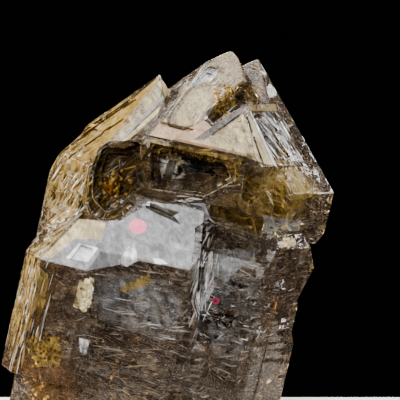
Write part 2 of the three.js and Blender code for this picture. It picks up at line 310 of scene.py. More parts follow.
# Clear quartz with a smoky tint, golden where iron has stained it. Its upright faces are
# striated across the axis, and the others broken into small plates.
def quartz_material():
    material, tree = new_material("smoky_quartz")
    broken = plates(tree, (2.4, 2.4, 3.6), turn=20)["Height"]
    striated = plates(tree, (7, 7, 0.7), turn=-4, shift=5)["Height"]
    striated = maths(tree, "MULTIPLY", striated, 0.4)
    height = blend(tree, painted(tree, "upright"), broken, striated)
    tint = mix_colour(
        tree, painted(tree, "warmth"), colour(0.97, 0.94, 0.88), colour(0.95, 0.80, 0.48)
    )
    smoke = add(
        tree, "ShaderNodeVolumeAbsorption", {"Color": colour(0.66, 0.5, 0.25), "Density": 55.0}
    )
    end_material(tree, {
        "Base Color": tint, "Roughness": 0.015, "IOR": QUARTZ_IOR, "Transmission Weight": 1.0,
        "Normal": bumped(tree, height, 0.8),
    }, Volume=smoke.outputs[0])
    return material


# Colours of what lies on the quartz, and of the shade, shadow and highlights painted on it.
GOLD = (0.30, 0.20, 0.06)
OLIVE = (0.27, 0.20, 0.08)
ORANGE = (0.45, 0.17, 0.03)
CREAM = (0.60, 0.50, 0.30)
BLUSH = (0.42, 0.29, 0.19)
WHITE = (0.80, 0.80, 0.80)
GREY = (0.28, 0.28, 0.28)
SLATE = (0.15, 0.13, 0.12)
SILVER = (0.36, 0.36, 0.37)
BROWN = (0.13, 0.08, 0.04)
# Painted shade, for the hole, the recess and the crack, where no light reaches.
PAINTED_SHADE = (0.012, 0.01, 0.009)
HAZE = (0.14, 0.10, 0.075)
TAN = (0.40, 0.32, 0.21)
HONEY = (0.32, 0.22, 0.07)
AMBER = (0.20, 0.10, 0.04)

# Soft spots of it: a colour, how much it hides, how even it is from 0 for streaky to 1, a middle
# in the upright frame and a reach across, deep and along it, in millimetres, and the kind of
# face that it keeps to.
FACES = {side: wall(side) for side in SIDES}
FACES.update({side + "Tip": tip(side) for side in SIDES})
FACE_KEEP = 0.93  # how closely a face has to look that way
UPRIGHT_START = 1.3  # a face is upright by this, less the next times its normal's rise
UPRIGHT_FADE = 1.6
SPOT_FADE = 2.5  # how quickly a spot grows from its rim, 1 for only at its middle
SPOTS = [
    (HAZE, 0.32, 0.8, (0, 0, 30), (90, 90, 90), None),
    (GOLD, 0.75, 0.1, (-26, -13, 46), (9, 12, 13), None),
    (HONEY, 0.85, 0.6, (-20, -13, 60), (10, 10, 10), "frontLeftTip"),
    (HONEY, 0.8, 0.45, (16, -6, 52), (15, 13, 8), None),
    (GOLD, 0.55, 0.35, (9, -9, 49), (12, 9, 6), None),
    (GOLD, 0.7, 0.1, (-28.5, -22, 26), (3.5, 6, 12), None),
    (GOLD, 0.7, 0.15, (-10, -19, 53), (7, 6, 7), None),
    (AMBER, 0.55, 0.5, (-22, -24, 8), (9, 8, 9), None),
    (SILVER, 0.4, 0.3, (-8, -23, 28.5), (11, 3, 6), "front"),
    (GOLD, 0.6, 0.0, (10, 18, 50), (9, 8, 10), None),
    (GOLD, 0.6, 0.0, (-16, 14, 44), (10, 8, 14), None),
    (SILVER, 0.3, 0.0, (-5, 20, 40), (14, 8, 18), None),
    (SILVER, 0.35, 0.0, (9, -2, 63), (6, 7, 7), "frontRightTip"),
    (SILVER, 0.35, 0.0, (-4.5, -6, 70.5), (5, 5, 6), "frontTip"),
    (SILVER, 0.25, 0.0, (11, -16, 30), (10, 4, 12), "front"),
]
# Patches of it with crisp outlines, from back to front: a colour, how much it hides, how even it
# is, and an outline picked on the photograph in its pixels across and down. It is laid
# along the line of sight on what faces the camera.
PATCHES = {
    "wing, golden side": (HONEY, 0.9, 0.8, [(160, 75), (97, 131), (108, 142), (158, 85)]),
    "wing, cream side": (
        CREAM, 0.7, 0.4, [(161, 79), (171, 91), (160, 104), (118, 143), (108, 142)]
    ),
    "wing, grey line": (GREY, 0.8, 0.9, [(163, 95), (165, 97), (122, 141), (117, 142)]),
    "wing, low cream": (CREAM, 0.85, 0.6, [(162, 104), (158, 113), (131, 138), (120, 143)]),
    "blade, top": (
        TAN, 0.55, 0.8, [(180, 93), (203, 69), (224, 51), (236, 52), (247, 82), (229, 84)]
    ),
    "blade, low": (TAN, 0.55, 0.8, [(180, 93), (229, 84), (208, 118), (184, 131), (168, 127)]),
    "blade, foot": (
        BROWN, 0.85, 0.7, [(169, 127), (184, 132), (205, 121), (204, 119), (184, 129), (169, 124)]
    ),
    "blade, cream": (
        CREAM, 0.6, 0.7, [(190, 92), (214, 84), (212, 100), (196, 124), (180, 127), (176, 115)]
    ),
    "blade, frost": (WHITE, 0.6, 0.2, [(185, 90), (198, 74), (219, 66), (216, 76), (196, 86)]),
    "blade, white line": (WHITE, 0.8, 0.5, [(224, 88), (227, 90), (208, 118), (204, 119)]),
    "crusted sliver": (GOLD, 0.95, 0.3, [(229, 84), (246, 83), (233, 107), (207, 119), (215, 105)]),
    "shelf": (
        BLUSH, 0.95, 0.9, [(149, 135), (166, 117), (169, 127), (184, 131), (204, 120), (244, 156)]
    ),
    # Painted shade, where the band lies in a recess.
    "triangle, grey band": (SLATE, 0.85, 0.7, [(193, 140), (242, 106), (244, 113), (205, 140)]),
    "triangle": (CREAM, 0.75, 0.5, [(205, 140), (243, 114), (250, 130), (262, 163), (244, 156)]),
    "plate, cream strip": (CREAM, 0.7, 0.8, [(245, 109), (249, 112), (273, 165), (264, 164)]),
    "plate, white line": (WHITE, 0.7, 0.8, [(249, 111), (251, 111), (277, 166), (274, 166)]),
    # Painted shadow, under the step between the right peak and the plate.
    "plate, top bar": (OLIVE, 0.8, 0.8, [(248, 105), (276, 104), (277, 111), (250, 111)]),
    "plate, frost": (WHITE, 0.7, 0.0, [(276, 124), (285, 127), (304, 162), (284, 160)]),
    # Painted shade in the hole by the sliver.
    "hole by the sliver": (PAINTED_SHADE, 0.95, 0.9, [(235, 96), (241, 92), (244, 98), (239, 101)]),
    "peak, golden foot": (GOLD, 0.6, 0.3, [(246, 88), (256, 84), (262, 100), (247, 102)]),
    "shelf, golden edge": (
        GOLD, 0.85, 0.3, [(150, 139), (243, 159), (240, 167), (190, 153), (150, 146)]
    ),
    "recess, glints": (WHITE, 0.8, 0.0, [(157, 158), (175, 155), (188, 163), (184, 178), (162, 180)]),
    # Painted shade in the recess under the shelf.
    "recess, dark": (PAINTED_SHADE, 0.9, 0.5, [(188, 160), (214, 163), (214, 174), (188, 173)]),
    "recess, post": (GOLD, 0.8, 0.3, [(226, 160), (240, 163), (241, 186), (236, 186)]),
    "recess, orange": (
        ORANGE, 0.9, 0.8, [(104, 179), (122, 178), (120, 190), (112, 197), (104, 188)]
    ),
    "tower": (SILVER, 0.8, 0.75, [
        (40, 259), (79, 219), (120, 221), (148, 204), (205, 203), (210, 218), (195, 228),
        (193, 271), (140, 261), (86, 271),
    ]),
    "tower, cream": (
        CREAM, 0.9, 0.7, [(80, 219), (106, 222), (101, 239), (74, 239), (52, 258), (43, 257)]
    ),
    "tower, olive rim": (OLIVE, 0.8, 0.3, [(30, 250), (45, 236), (79, 219), (43, 257)]),
    "tower, white patch": (WHITE, 0.95, 0.8, [(79, 243), (98, 248), (88, 262), (66, 258)]),
    "tower, white blob": (
        WHITE, 0.9, 0.5, [(118, 261), (128, 247), (135, 243), (138, 261), (126, 267)]
    ),
    "tower, lozenge": (WHITE, 0.95, 0.9, [(153, 258), (162, 259), (168, 264), (155, 264)]),
    "crack, white rim": (
        WHITE, 0.9, 0.6, [(148, 201), (160, 204), (174, 215), (166, 213), (152, 209), (145, 206)]
    ),
    # Painted shade in the hollow of the crack.
    "crack": (PAINTED_SHADE, 0.95, 0.9, [
        (145, 205), (153, 207), (166, 212), (175, 217), (181, 225), (171, 220), (157, 214),
        (146, 208),
    ]),
    "front, ochre": (OLIVE, 0.85, 0.6, [(118, 290), (128, 283), (150, 273), (150, 284), (123, 293)]),
    "front, cream lumps": (
        CREAM, 0.9, 0.3, [(79, 282), (92, 281), (92, 299), (83, 310), (73, 307)]
    ),
    "flank": (OLIVE, 0.85, 0.4, [(38, 266), (48, 275), (46, 300), (38, 322), (35, 300)]),
    "flank, golden lump": (GOLD, 0.9, 0.2, [(31, 337), (58, 337), (60, 366), (34, 367)]),
    "front, white spot": (WHITE, 0.8, 0.3, [(79, 338), (90, 340), (86, 355), (80, 352)]),
    "right, grey facet": (
        GREY, 0.6, 0.8, [(214, 250), (262, 249), (240, 268), (226, 283), (213, 276)]
    ),
    # Painted reflection: grey where the facet catches the light from the right.
    "right, high facet": (GREY, 0.6, 0.8, [(263, 215), (300, 221), (299, 231), (264, 232)]),
    "right, cream": (CREAM, 0.85, 0.6, [(278, 242), (295, 238), (296, 245), (281, 248)]),
    "groove": (SILVER, 0.45, 0.2, [
        (197, 226), (211, 223), (206, 262), (214, 280), (203, 300), (206, 335), (196, 335),
        (197, 300), (190, 270),
    ]),
}
# Pale edges, partly chipped wear and partly a painted highlight where the edges catch the light:
# a colour, how much it hides and how even it is, and the levels in millimetres from which they
# show and over which they grow to full strength.
EDGE_TONE = (CREAM, 0.5, 0.3)
EDGES_FROM = 36
EDGES_OVER = 16
EDGES_LEAST = 0.1
# Where the quartz itself is golden: a middle, a reach and a strength.
WARM = [
    ((-22, -12, 50), (12, 14, 14), 1.0), ((14, -4, 53), (14, 14, 11), 0.9),
    ((-28, -20, 26), (7, 9, 14), 0.9), ((-24, -22, 12), (9, 8, 9), 0.8),
    ((-4, -12, 56), (12, 6, 4), 0.8), ((4, 2, 70), (6, 8, 6), 0.6),
    ((-12, 14, 44), (12, 10, 16), 0.7), ((10, 18, 48), (12, 10, 14), 0.6),
]


def closeness(points, middle, reach):
    away = np.linalg.norm((points - middle) / reach, axis=1)
    return np.clip((1.0 - away) * SPOT_FADE, 0, 1)


def edges_of(outline):
    return zip(outline, outline[1:] + outline[:1])


# 1 inside the outline and 0 outside, for points in the photograph's pixels.
def inside_outline(points, outline):
    inside = np.zeros(len(points), dtype=bool)
    for (x1, y1), (x2, y2) in edges_of(outline):
        crosses = (points[:, 1] < y1) != (points[:, 1] < y2)
        at = x1 + (points[:, 1] - y1) * (x2 - x1) / (y2 - y1 if y2 != y1 else 1)
        inside ^= crosses & (points[:, 0] < at)
    return inside.astype(float)


# Cuts the mesh along the outlines of the patches, so that each patch has crisp edges.
def cut_outlines(bm):
    for *_, outline in PATCHES.values():
        reach = [(min(axis), max(axis)) for axis in zip(*outline)]
        parts = {}
        bm.verts.index_update()
        seen = seen_at([vert.co for vert in bm.verts]).tolist()
        for face in bm.faces:
            if face.normal.dot(SIGHT) > -CUT_FACING:
                continue
            spans = zip(*(seen[vert.index] for vert in face.verts))
            if all(max(s) > low and min(s) < high for s, (low, high) in zip(spans, reach)):
                parts.update(dict.fromkeys([face, *face.edges, *face.verts]))
        for first, second in edges_of(outline):
            across = sight_through(*first).cross(sight_through(*second)).normalized()
            parts = bmesh.ops.bisect_plane(
                bm, geom=list(parts), plane_co=CAMERA_AT * MM, plane_no=across,
                dist=JOIN_WITHIN * MM,
            )["geom"]


# One value, or a row of them, for each item of a mesh.
def rows(items, name, wide=1, kind=float):
    values = np.empty(len(items) * wide, dtype=kind)
    items.foreach_get(name, values)
    return values.reshape(-1, wide) if wide > 1 else values


# Paints what the materials read onto each corner: the tone of what lies there, how much it
# covers, how even it is, how golden the quartz is, and how upright the face is.
def paint(mesh):
    corners = rows(mesh.loops, "vertex_index", kind=np.int32)
    points = in_upright(rows(mesh.vertices, "co", 3)[corners])
    seen = seen_at(rows(mesh.polygons, "center", 3))
    sizes = rows(mesh.polygons, "loop_total", kind=np.int32)
    normals = rows(mesh.polygons, "normal", 3)
    towards = -normals @ np.array(SIGHT)
    normals = normals @ BACK
    tone = np.ones((len(corners), 4))
    tone[:, :3] = GOLD
    cover = np.zeros(len(corners))
    even = np.zeros(len(corners))

    def lay(hue, strength, evenness, amount):
        nonlocal cover, even
        tone[:, :3] += (np.array(hue) - tone[:, :3]) * amount[:, None]
        cover = cover + (strength - cover) * amount
        even = even + (evenness - even) * amount

    for *look, middle, reach, face in SPOTS:
        amount = closeness(points, middle, reach)
        if face:
            kept = normals @ np.array(FACES[face]) > FACE_KEEP
            amount = amount * np.repeat(kept, sizes)
        lay(*look, amount)
    for *look, outline in PATCHES.values():
        amount = inside_outline(seen, outline) * (towards > PAINT_FACING)
        lay(*look, np.repeat(amount, sizes))
    # Pale worn edges, partly chipped wear and partly painted highlight.
    if "edge" in mesh.attributes:
        edge = rows(mesh.attributes["edge"].data, "value")
        higher = np.clip((points[:, 2] - EDGES_FROM) / EDGES_OVER, EDGES_LEAST, 1)
        lay(*EDGE_TONE, np.repeat(edge, sizes) * higher)
    warmth = np.max([closeness(points, m, r) * s for m, r, s in WARM], axis=0)
    upright = np.clip(UPRIGHT_START - UPRIGHT_FADE * np.abs(normals[:, 2]), 0, 1)
    mesh.attributes.new("tone", "FLOAT_COLOR", "CORNER").data.foreach_set("color", tone.ravel())
    upright = np.repeat(upright, sizes)
    values_of = {"cover": cover, "even": even, "warmth": warmth, "upright": upright}
    for name, values in values_of.items():
        mesh.attributes.new(name, "FLOAT", "CORNER").data.foreach_set("value", values)


# Two marks of pink paint, the smaller with a dark middle: a middle in the upright frame and a
# radius, in millimetres, and a colour.
MARKS = [
    ((-11.1, -19.0, 42.2), 1.65, colour(0.70, 0.22, 0.30)),
    ((6.5, -16.2, 30.9), 0.75, colour(0.30, 0.04, 0.09)),
    ((6.4, -16.2, 30.9), 0.33, colour(0.10, 0.015, 0.04)),
]


# What lies on the glass: plates of stain and crust, streaky or even, among them patches of
# painted shade, shadow and highlight, thin painted glints where it is streaky, and the marks on top.
def skin_material():
    material, tree = new_material("stains_crusts_and_painted_light")
    plate = plates(tree, (1.3, 1.3, 3.4), turn=22, shift=8)
    grain = streaks(tree, (0.8, 0.8, 1.8), turn=22, shift=21)
    speckle = streaks(tree, (0.9, 0.9, 1.2), low=0.56, high=0.72, turn=40, shift=27)
    patchy = streaks(tree, (1.8, 1.8, 4.0), low=0.42, high=0.58, turn=24, shift=22)
    even = painted(tree, "even")

    streaky_shade = maths(
        tree, "MULTIPLY", maths(tree, "MULTIPLY_ADD", plate["Shade"], 0.7, 0.4),
        maths(tree, "MULTIPLY_ADD", grain, 0.6, 0.65),
    )
    even_shade = maths(tree, "MULTIPLY_ADD", grain, 0.35, 0.75)
    even_shade = maths(tree, "MULTIPLY_ADD", speckle, 0.6, even_shade)
    tone = add(tree, "ShaderNodeAttribute", attribute_name="tone").outputs["Color"]
    tint = scaled(tree, tone, blend(tree, even, streaky_shade, even_shade))
    cover = maths(tree, "MULTIPLY", painted(tree, "cover"), blend(tree, even, patchy, 1.0))

    # Thin painted glints, where the stain is streaky.
    across = wisps(tree, (5.0, 5.0, 0.9), turn=-6, shift=15, warp=1.2, width=0.02)
    along = wisps(tree, (1.6, 1.6, 6.0), turn=24, shift=16, warp=1.0, width=0.02)
    here = streaks(tree, (5, 5, 5), low=0.5, high=0.6, shift=17)
    painted_glint = maths(tree, "MULTIPLY", blend(tree, painted(tree, "upright"), along, across), here)
    painted_glint = maths(tree, "MULTIPLY", painted_glint, maths(tree, "SUBTRACT", 1.0, even))
    painted_glint = maths(tree, "MULTIPLY", painted_glint, 0.8)
    tint = mix_colour(tree, painted_glint, tint, colour(0.8, 0.79, 0.76))
    cover = maths(tree, "MAXIMUM", cover, maths(tree, "MULTIPLY", painted_glint, 0.85))

    coords = add(tree, "ShaderNodeTexCoord").outputs["Object"]
    for middle, radius, paint_colour in MARKS:
        away = vector(tree, "DISTANCE", coords, place(middle), result="Value")
        inside = maths(tree, "LESS_THAN", away, radius * MM)
        tint = mix_colour(tree, inside, tint, paint_colour)
        cover = maths(tree, "MAXIMUM", cover, inside)
    height = maths(tree, "MULTIPLY_ADD", grain, 0.35, plate["Height"])
    end_material(tree, {
        "Base Color": tint, "Roughness": 0.28, "Alpha": cover,
        "Normal": bumped(tree, height, 0.35, strength=0.6),
    })
    return material


# A thin veil or film inside the quartz, seen only where its pattern is. It turns golden with
# the quartz around it.
GOLDEN_DARK = colour(0.09, 0.05, 0.015)
GOLDEN_PALE = colour(0.66, 0.48, 0.20)


def veil_material(name, dark, pale, pattern, thickness, rough):
    material, tree = new_material(name)
    mask, shade, height = pattern(tree)
    smoky = mix_colour(tree, shade, dark, pale)
    golden = mix_colour(tree, shade, GOLDEN_DARK, GOLDEN_PALE)
    inputs = {
        "Base Color": mix_colour(tree, painted(tree, "warmth"), smoky, golden),
        "Roughness": rough, "Alpha": maths(tree, "MULTIPLY", mask, thickness),
    }
    if height is not None:
        inputs["Normal"] = bumped(tree, height, 0.6)
    end_material(tree, inputs)
    return material


# Small things, each with its own shade between two colours.
def picked_material(name, dark, pale, rough, alpha):
    material, tree = new_material(name)
    tint = mix_colour(tree, painted(tree, "pick"), dark, pale)
    end_material(tree, {"Base Color": tint, "Roughness": rough, "Alpha": alpha})
    return material


# The solid's mesh, its corners joined.
def plain_solid():
    bm = bmesh.new()
    bm.from_mesh(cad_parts["quartz_crystal"].data)
    bmesh.ops.remove_doubles(bm, verts=bm.verts, dist=JOIN_WITHIN * MM)
    return bm


solid = plain_solid()
surface = BVHTree.FromBMesh(solid)


def keep_in_box(bm):
    lowest, highest = cad_box
    for vert in bm.verts:
        vert.co = [min(max(c, lo), hi) for c, lo, hi in zip(vert.co, lowest, highest)]


# Whether a point stands out of the solid: a line from it then meets the faces an even number
# of times.
PROBE = Vector((0.31, -0.17, 0.93)).normalized()  # a heading along no face of the lattice
PROBE_STEP = 1e-4  # mm, past a face that it has met


def stands_out(point):
    if surface.find_nearest(point)[3] < STANDS_OUT * MM:
        return False
    outside = True
    spot = surface.ray_cast(point, PROBE)[0]
    while spot:
        outside = not outside
        spot = surface.ray_cast(spot + PROBE * PROBE_STEP * MM, PROBE)[0]
    return outside


# The solid with its sharp edges worn, and the worn faces marked.
def worn_solid():
    bm = plain_solid()
    marked = bm.faces.layers.float.new("edge")
    bmesh.ops.dissolve_limit(bm, angle_limit=FLAT_WITHIN, verts=bm.verts, edges=bm.edges)
    tight = {vert for edge in bm.edges if edge.calc_length() < TIGHT * MM for vert in edge.verts}
    sharp = [
        edge for edge in bm.edges
        if edge.calc_face_angle() > SHARP and not tight.intersection(edge.verts)
    ]
    worn = bmesh.ops.bevel(
        bm, geom=sharp, offset=EDGE_WEAR * MM, offset_type="OFFSET", segments=1,
        affect="EDGES", clamp_overlap=False,
    )["faces"]
    for face in worn:
        face[marked] = 1.0
    bmesh.ops.triangulate(bm, faces=bm.faces)
    for vert in bm.verts:
        nearest, _, _, away = surface.find_nearest(vert.co)
        if away > STRAY_WEAR * MM:
            vert.co = nearest
    keep_in_box(bm)
    return bm


# Splits edges until none is longer than a limit in millimetres.
def refine(bm, longest):
    bmesh.ops.triangulate(bm, faces=bm.faces)
    for _ in range(REFINE_ROUNDS):
        long = [edge for edge in bm.edges if edge.calc_length() > longest * MM]
        if not long:
            break
        bmesh.ops.subdivide_edges(bm, edges=long, cuts=1)
        bmesh.ops.triangulate(bm, faces=bm.faces)


# The same mesh of triangles without doubled ones, its corners and faces in order of place, so
# that whatever is scattered over it falls alike in every run.
def in_order(bm):
    spots = sorted(bm.verts, key=lambda vert: [round(c / MM, ORDER_DIGITS) for c in vert.co])
    rank = {vert: number for number, vert in enumerate(spots)}
    marked = bm.faces.layers.float["edge"]
    faces = []
    for face in bm.faces:
        corners = [rank[vert] for vert in face.verts]
        first = corners.index(min(corners))
        faces.append((corners[first:] + corners[:first], face[marked]))
    made = bmesh.new()
    verts = [made.verts.new(vert.co) for vert in spots]
    marked = made.faces.layers.float.new("edge")
    for corners, value in sorted(faces):
        around = [verts[corner] for corner in corners]
        if not made.faces.get(around):
            made.faces.new(around)[marked] = value
    bm.free()
    return made


def as_piece(name, bm, material, smooth=True):
    mesh = bpy.data.meshes.new(name)
    bm.to_mesh(mesh)
    bm.free()
    if smooth:
        mesh.shade_smooth()
        mesh.set_sharp_from_angle(angle=SMOOTH_BELOW)
    mesh.materials.append(material)
    piece = bpy.data.objects.new(name, mesh)
    bpy.context.scene.collection.objects.link(piece)
    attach(piece, "root")
    return piece


# The glass, and what lies on it.
body_mesh = worn_solid()
skin_mesh = body_mesh.copy()
cut_outlines(skin_mesh)
for bm in (body_mesh, skin_mesh):
    refine(bm, SKIN_CELL)
    bm.normal_update()
for vert in body_mesh.verts:
    vert.co -= vert.normal * SKIN_DEPTH * MM
keep_in_box(body_mesh)
skin_mesh = in_order(skin_mesh)
crystal = as_piece("crystal_body", body_mesh, quartz_material())
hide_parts("quartz_crystal")
skin = as_piece("stains_crusts_and_painted_light", skin_mesh, skin_material())
for piece in (crystal, skin):
    paint(piece.data)


# A sheet through the whole solid, square to a direction at a level along it in the upright
# frame, gently waved away from its rim. What would stand in an open hollow is left out.
def sheet_through(direction, level, seed):
    bm = solid.copy()
    facing = UPRIGHT @ direction
    bmesh.ops.bisect_plane(
        bm, geom=bm.verts[:] + bm.edges[:] + bm.faces[:], plane_co=place(direction * level),
        plane_no=facing, clear_inner=True, clear_outer=True, dist=JOIN_WITHIN / 2 * MM,
    )
    bmesh.ops.triangle_fill(bm, edges=bm.edges[:], use_beauty=True, normal=facing)
    refine(bm, SHEET_CELL)
    rim = {vert for edge in bm.edges if edge.is_boundary for vert in edge.verts}
    for vert in bm.verts:
        if vert not in rim:
            swing = noise.noise(vert.co / (WAVE_LENGTH * MM) + Vector((seed, 0, 0)))
            room = min(SHEET_WAVE * MM, SHEET_ROOM * surface.find_nearest(vert.co)[3])
            vert.co += facing * swing * room
    out = {vert for vert in bm.verts if stands_out(vert.co)}
    stray = [
        face for face in bm.faces
        if out.intersection(face.verts) or stands_out(face.calc_center_median())
    ]
    bmesh.ops.delete(bm, geom=stray, context="FACES")
    keep_in_box(bm)
    return bm


# Moves a mesh into a piece that is being put together.
def move_into(whole, mesh):
    whole.from_mesh(mesh)
    bpy.data.meshes.remove(mesh)


SEED_STEP = 3.7  # between one sheet's waves and the next


def sheets(name, material, cuts):
    whole = bmesh.new()
    for number, (direction, level) in enumerate(cuts):
        sheet = sheet_through(direction, level, number * SEED_STEP)
        mesh = bpy.data.meshes.new("sheet")
        sheet.to_mesh(mesh)
        sheet.free()
        move_into(whole, mesh)
    paint(as_piece(name, whole, material).data)


# What shows on a sheet: a mask, a shade, and a height where it is broken.
def smoky_clouds(tree):
    cloud = streaks(tree, (7, 7, 4), low=0.42, high=0.62, turn=10, shift=1, warp=1.0)
    return cloud, streaks(tree, (4, 4, 1.4), turn=4, shift=31), None


def thin_wisps(tree):
    line = wisps(tree, (5, 5, 2.2), turn=-12, shift=2, warp=2.2, width=0.016)
    return line, streaks(tree, (1.5, 1.5, 1.0), turn=24, shift=32), None


PLATES_SHOWN = 0.55  # plates with more shade than this show


def broken_plates(cell, turn):
    def pattern(tree):
        plate = plates(tree, cell, turn, shift=4)
        near = streaks(tree, (6, 6, 3), low=0.46, high=0.56, turn=turn, shift=6)
        chosen = maths(tree, "GREATER_THAN", plate["Shade"], PLATES_SHOWN)
        grain = streaks(tree, cell, low=0.35, high=0.65, turn=turn, shift=33)
        return maths(tree, "MULTIPLY", chosen, near), grain, plate["Height"]
    return pattern


# Each piece of sheets: its dark and pale colours, pattern, thickness and roughness, and the
# planes it follows, each as a face's direction and a distance in millimetres.
BROKEN_DARK = colour(0.10, 0.07, 0.045)
BROKEN_PALE = colour(0.60, 0.54, 0.48)
LEVEL_PLATES = broken_plates((4.5, 4.5, 1.1), turn=4)
SLANTED_PLATES = broken_plates((1.8, 1.8, 3.4), turn=20)
SHEETS = {
    "smoky_veils": (colour(0.05, 0.033, 0.02), colour(0.24, 0.17, 0.11), smoky_clouds, 0.6, 0.5, [
        (wall("front"), 15), (wall("front"), 4), (wall("frontLeft"), 19), (tip("front"), 35),
    ]),
    "milky_wisps": (colour(0.5, 0.46, 0.42), colour(0.95, 0.95, 0.95), thin_wisps, 0.9, 0.15, [
        (wall("front"), 22), (wall("front"), 14.4), (wall("frontLeft"), 27),
        (wall("frontRight"), 15), (tip("front"), 39.6), (tip("frontRight"), 46.6),
    ]),
    "level_fractures": (BROKEN_DARK, BROKEN_PALE, LEVEL_PLATES, 0.85, 0.1, [
        (wall("front"), 19.5), (wall("front"), 12), (wall("frontLeft"), 28.4),
        (wall("frontRight"), 17), (wall("frontLeft"), 23), (wall("frontRight"), 11),
    ]),
    "slanted_fractures": (BROKEN_DARK, BROKEN_PALE, SLANTED_PLATES, 0.85, 0.1, [
        (tip("front"), 46.5), (tip("frontLeft"), 53.5), (tip("frontRight"), 46),
        (tip("front"), 37),
    ]),
}
for name, (*look, cuts) in SHEETS.items():
    sheets(name, veil_material(name, *look), cuts)


# Geometry Nodes trees that scatter small things over a painted zone.
def named(tree, name):
    return add(
        tree, "GeometryNodeInputNamedAttribute", {"Name": name}, data_type="FLOAT"
    ).outputs["Attribute"]


def chance(tree, low, high, seed):
    made = add(tree, "FunctionNodeRandomValue", {"Seed": seed}, data_type="FLOAT")
    ends = [into for into in made.inputs if into.type == "VALUE" and into.enabled]
    for into, value in zip(ends, (low, high)):
        feed(tree, into, value)
    return next(out for out in made.outputs if out.type == "VALUE" and out.enabled)


# Keeps one random value for each small thing under a name.
def keep_chance(tree, placed, name, low, high, seed):
    return add(
        tree, "GeometryNodeStoreNamedAttribute",
        {"Geometry": placed, "Name": name, "Value": chance(tree, low, high, seed)},
        data_type="FLOAT", domain="INSTANCE",
    ).outputs[0]


def start_scatter(name, labels):
    tree = bpy.data.node_groups.new(name, "GeometryNodeTree")
    socket(tree, "Geometry", "NodeSocketGeometry")
    for label in labels:
        socket(tree, label, "NodeSocketFloat")
    socket(tree, "Seed", "NodeSocketInt")
    socket(tree, "Material", "NodeSocketMaterial")
    socket(tree, "Geometry", "NodeSocketGeometry", out=True)
    given = add(tree, "NodeGroupInput").outputs
    density = maths(tree, "MULTIPLY", named(tree, "zone"), given["Density"])
    points = add(
        tree, "GeometryNodeDistributePointsOnFaces",
        {"Mesh": given["Geometry"], "Seed": given["Seed"], "Density": density},
        distribute_method="RANDOM",
    ).outputs
    return tree, given, points


def end_scatter(tree, given, geometry):
    values = {"Geometry": geometry, "Material": given["Material"]}
    done = add(tree, "GeometryNodeSetMaterial", values).outputs[0]
    add(tree, "NodeGroupOutput", {"Geometry": done})
    return tree


# Strips that narrow to their ends, turned in the face from its level line and laid down at a
# depth under it, so that they hug the faces.
STRIP_CORNERS = 7
STRIP_TAPER = 3.8  # 4 would end in points


def flakes_tree():
    tree, given, points = start_scatter("surface_flakes", [
        "Density", "Least Length", "Most Length", "Least Width", "Most Width", "Turn", "Spread",
        "Least Depth", "Most Depth",
    ])
    axis = UPRIGHT @ Vector((0, 0, 1))
    level = vector(tree, "CROSS_PRODUCT", axis, points["Normal"])
    facing = add(
        tree, "FunctionNodeAlignRotationToVector", {"Vector": points["Normal"]}, axis="Z"
    ).outputs[0]
    facing = add(
        tree, "FunctionNodeAlignRotationToVector", {"Rotation": facing, "Vector": level},
        axis="X", pivot_axis="Z",
    ).outputs[0]
    spread = given["Spread"]
    swing = chance(tree, maths(tree, "MULTIPLY", spread, -1.0), spread, 1)
    angle = maths(tree, "ADD", given["Turn"], swing)
    turn = add(
        tree, "FunctionNodeAxisAngleToRotation", {"Axis": (0, 0, 1), "Angle": angle}
    ).outputs[0]
    facing = add(
        tree, "FunctionNodeRotateRotation", {"Rotation": facing, "Rotate By": turn},
        rotation_space="LOCAL",
    ).outputs[0]
    size = add(
        tree, "ShaderNodeCombineXYZ",
        {"X": chance(tree, given["Least Length"], given["Most Length"], 2),
         "Y": chance(tree, given["Least Width"], given["Most Width"], 3), "Z": 1.0},
    ).outputs[0]
    strip = add(
        tree, "GeometryNodeMeshGrid",
        {"Size X": 1.0, "Size Y": 1.0, "Vertices X": STRIP_CORNERS, "Vertices Y": 2},
    ).outputs["Mesh"]
    at = add(tree, "GeometryNodeInputPosition").outputs[0]
    parts = add(tree, "ShaderNodeSeparateXYZ", {"Vector": at}).outputs
    squared = maths(tree, "MULTIPLY", parts["X"], parts["X"])
    taper = maths(tree, "MULTIPLY_ADD", squared, -STRIP_TAPER, 1.0)
    tapered = add(
        tree, "ShaderNodeCombineXYZ",
        {"X": parts["X"], "Y": maths(tree, "MULTIPLY", parts["Y"], taper)},
    ).outputs[0]
    strip = add(
        tree, "GeometryNodeSetPosition", {"Geometry": strip, "Position": tapered}
    ).outputs[0]
    placed = add(
        tree, "GeometryNodeInstanceOnPoints",
        {"Points": points["Points"], "Instance": strip, "Rotation": facing, "Scale": size},
    ).outputs[0]
    placed = keep_chance(tree, placed, "pick", 0.0, 1.0, 4)
    placed = keep_chance(tree, placed, "depth", given["Least Depth"], given["Most Depth"], 5)
    whole = add(tree, "GeometryNodeRealizeInstances", {"Geometry": placed}).outputs[0]
    nearest = add(
        tree, "GeometryNodeProximity", {"Geometry": given["Geometry"]}, target_element="FACES"
    ).outputs["Position"]
    outward = add(
        tree, "GeometryNodeSampleNearestSurface",
        {"Mesh": given["Geometry"], "Value": add(tree, "GeometryNodeInputNormal").outputs[0]},
        data_type="FLOAT_VECTOR",
    ).outputs[0]
    inward = scaled(tree, outward, maths(tree, "MULTIPLY", named(tree, "depth"), -1.0))
    hugging = add(
        tree, "GeometryNodeSetPosition",
        {"Geometry": whole, "Position": nearest, "Offset": inward},
    ).outputs[0]
    return end_scatter(tree, given, hugging)


